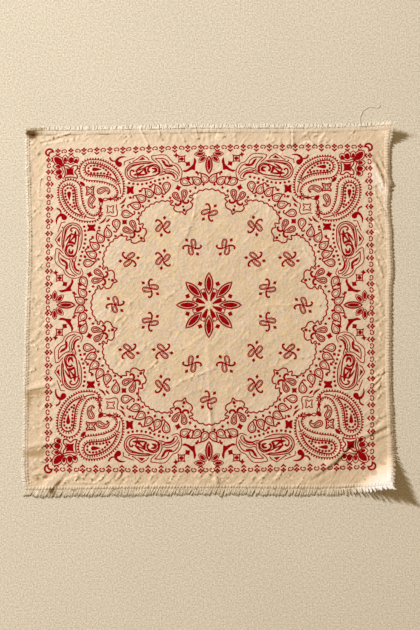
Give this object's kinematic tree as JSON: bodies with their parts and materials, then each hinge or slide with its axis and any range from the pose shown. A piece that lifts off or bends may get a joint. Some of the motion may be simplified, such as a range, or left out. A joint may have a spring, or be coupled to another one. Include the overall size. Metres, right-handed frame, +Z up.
{
  "type": "bandana",
  "caption": "Square printed cotton bandana lying flat, with narrow stitched hems, a frayed thread fringe and two lifted corners.",
  "frame": {"origin": "the middle of the printed square, on the surface that the cloth lies on", "axes": "+X to the cloth's right edge, +Y to its top edge, the one with the loose thread, +Z up off the surface"},
  "size_m": [0.5669, 0.5934, 0.0265],
  "materials": {
    "printed_cotton": "matte plain-weave cotton, unbleached cream with a crimson print",
    "hem_cotton": "matte plain-weave cotton, turned and stitched",
    "frayed_thread": "matte loose cotton thread, off-white"
  },
  "bodies": {
    "root": {"panel": "printed_cotton", "hem_top": "hem_cotton", "hem_bottom": "hem_cotton", "hem_left": "hem_cotton", "hem_right": "hem_cotton", "fringe_top": "frayed_thread", "fringe_top_corner": "frayed_thread", "fringe_bottom": "frayed_thread", "fringe_bottom_corner": "frayed_thread", "fringe_left": "frayed_thread", "fringe_right_low_corner": "frayed_thread", "fringe_right": "frayed_thread", "fringe_right_top_corner": "frayed_thread", "loose_thread": "frayed_thread"}
  },
  "joints": []
}
